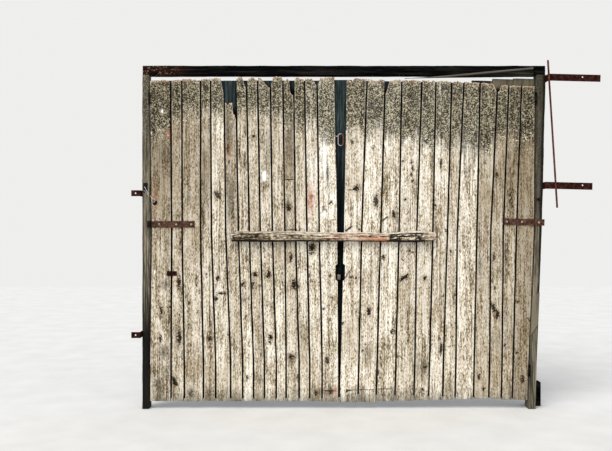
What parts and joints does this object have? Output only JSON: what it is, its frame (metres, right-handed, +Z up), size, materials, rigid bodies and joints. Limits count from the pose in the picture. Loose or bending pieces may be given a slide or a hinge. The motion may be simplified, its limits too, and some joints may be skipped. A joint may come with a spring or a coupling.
{
  "type": "barn door",
  "caption": "Double barn door of old upright planks in a timber frame, on strap and butt hinges, barred and padlocked across the middle.",
  "frame": {"origin": "middle of the left post's foot, on the ground", "axes": "+X across the doorway to the right as seen from the front, +Y from the front to the back, +Z up"},
  "size_m": [3.9524, 0.2923, 2.9505],
  "materials": {
    "weathered_board": "bare and weathered",
    "dark_board": "dark, dusty",
    "back_timber": "rough sawn",
    "post_timber": "rough sawn, weathered",
    "head_timber": "rough sawn, stained",
    "bar_timber": "hewn, rust stained",
    "rusty_iron": "rusted",
    "bolt_iron": "rusted, rubbed bright in places",
    "lock_metal": "dull",
    "grey_wire": "dull, partly rusted"
  },
  "bodies": {
    "frame": {"left_post": "post_timber", "right_post_upper": "post_timber", "right_post_foot": "post_timber", "head_beam": "head_timber", "head_slat": "head_timber", "right_packing": "head_timber", "left_ties": "rusty_iron", "right_ties": "rusty_iron", "frame_screws": "bolt_iron", "hanging_rod": "rusty_iron", "post_plate": "rusty_iron", "left_jamb_hinges": "rusty_iron", "right_jamb_hinges": "rusty_iron"},
    "left_leaf": {"left_board_01": "weathered_board", "left_board_02": "weathered_board", "left_board_03": "weathered_board", "left_board_04": "weathered_board", "left_board_05": "weathered_board", "left_board_06": "weathered_board", "left_board_07": "weathered_board", "left_board_08": "weathered_board", "left_board_09": "weathered_board", "left_board_10": "weathered_board", "left_board_11": "weathered_board", "left_board_12": "weathered_board", "left_board_13": "weathered_board", "left_board_14": "weathered_board", "left_lining": "dark_board", "left_ledges": "back_timber", "left_nails": "bolt_iron", "left_strap": "rusty_iron", "left_bolts": "bolt_iron", "left_butts": "rusty_iron", "bar": "bar_timber", "bar_spikes": "bolt_iron", "lock_staple": "grey_wire", "padlock_body": "lock_metal", "padlock_shackle": "grey_wire", "wire_ring": "grey_wire", "patch_plate": "rusty_iron"},
    "right_leaf": {"right_board_01": "weathered_board", "right_board_02": "weathered_board", "right_board_03": "weathered_board", "right_board_04": "weathered_board", "right_board_05": "weathered_board", "right_board_06": "weathered_board", "right_board_07": "weathered_board", "right_board_08": "weathered_board", "right_board_09": "weathered_board", "right_board_10": "weathered_board", "right_board_11": "weathered_board", "right_board_12": "weathered_board", "right_lining": "dark_board", "right_ledges": "back_timber", "right_nails": "bolt_iron", "right_strap": "rusty_iron", "right_bolts": "bolt_iron", "right_butts": "rusty_iron", "cover_strip": "back_timber", "bent_nails": "rusty_iron"}
  },
  "joints": [
    {"name": "left_leaf_hinge", "type": "hinge", "parent": "frame", "child": "left_leaf", "pos_m": [0.034, -0.0713, 0], "axis": [0, 0, -1], "range_deg": [0, 100]},
    {"name": "right_leaf_hinge", "type": "hinge", "parent": "frame", "child": "right_leaf", "pos_m": [3.252, -0.0713, -0.0001], "axis": [0.0244, 0, 0.9997], "range_deg": [0, 85]}
  ],
  "couplings": [
    {"joint": "right_leaf_hinge", "follows": "left_leaf_hinge", "ratio": 0.85}
  ]
}
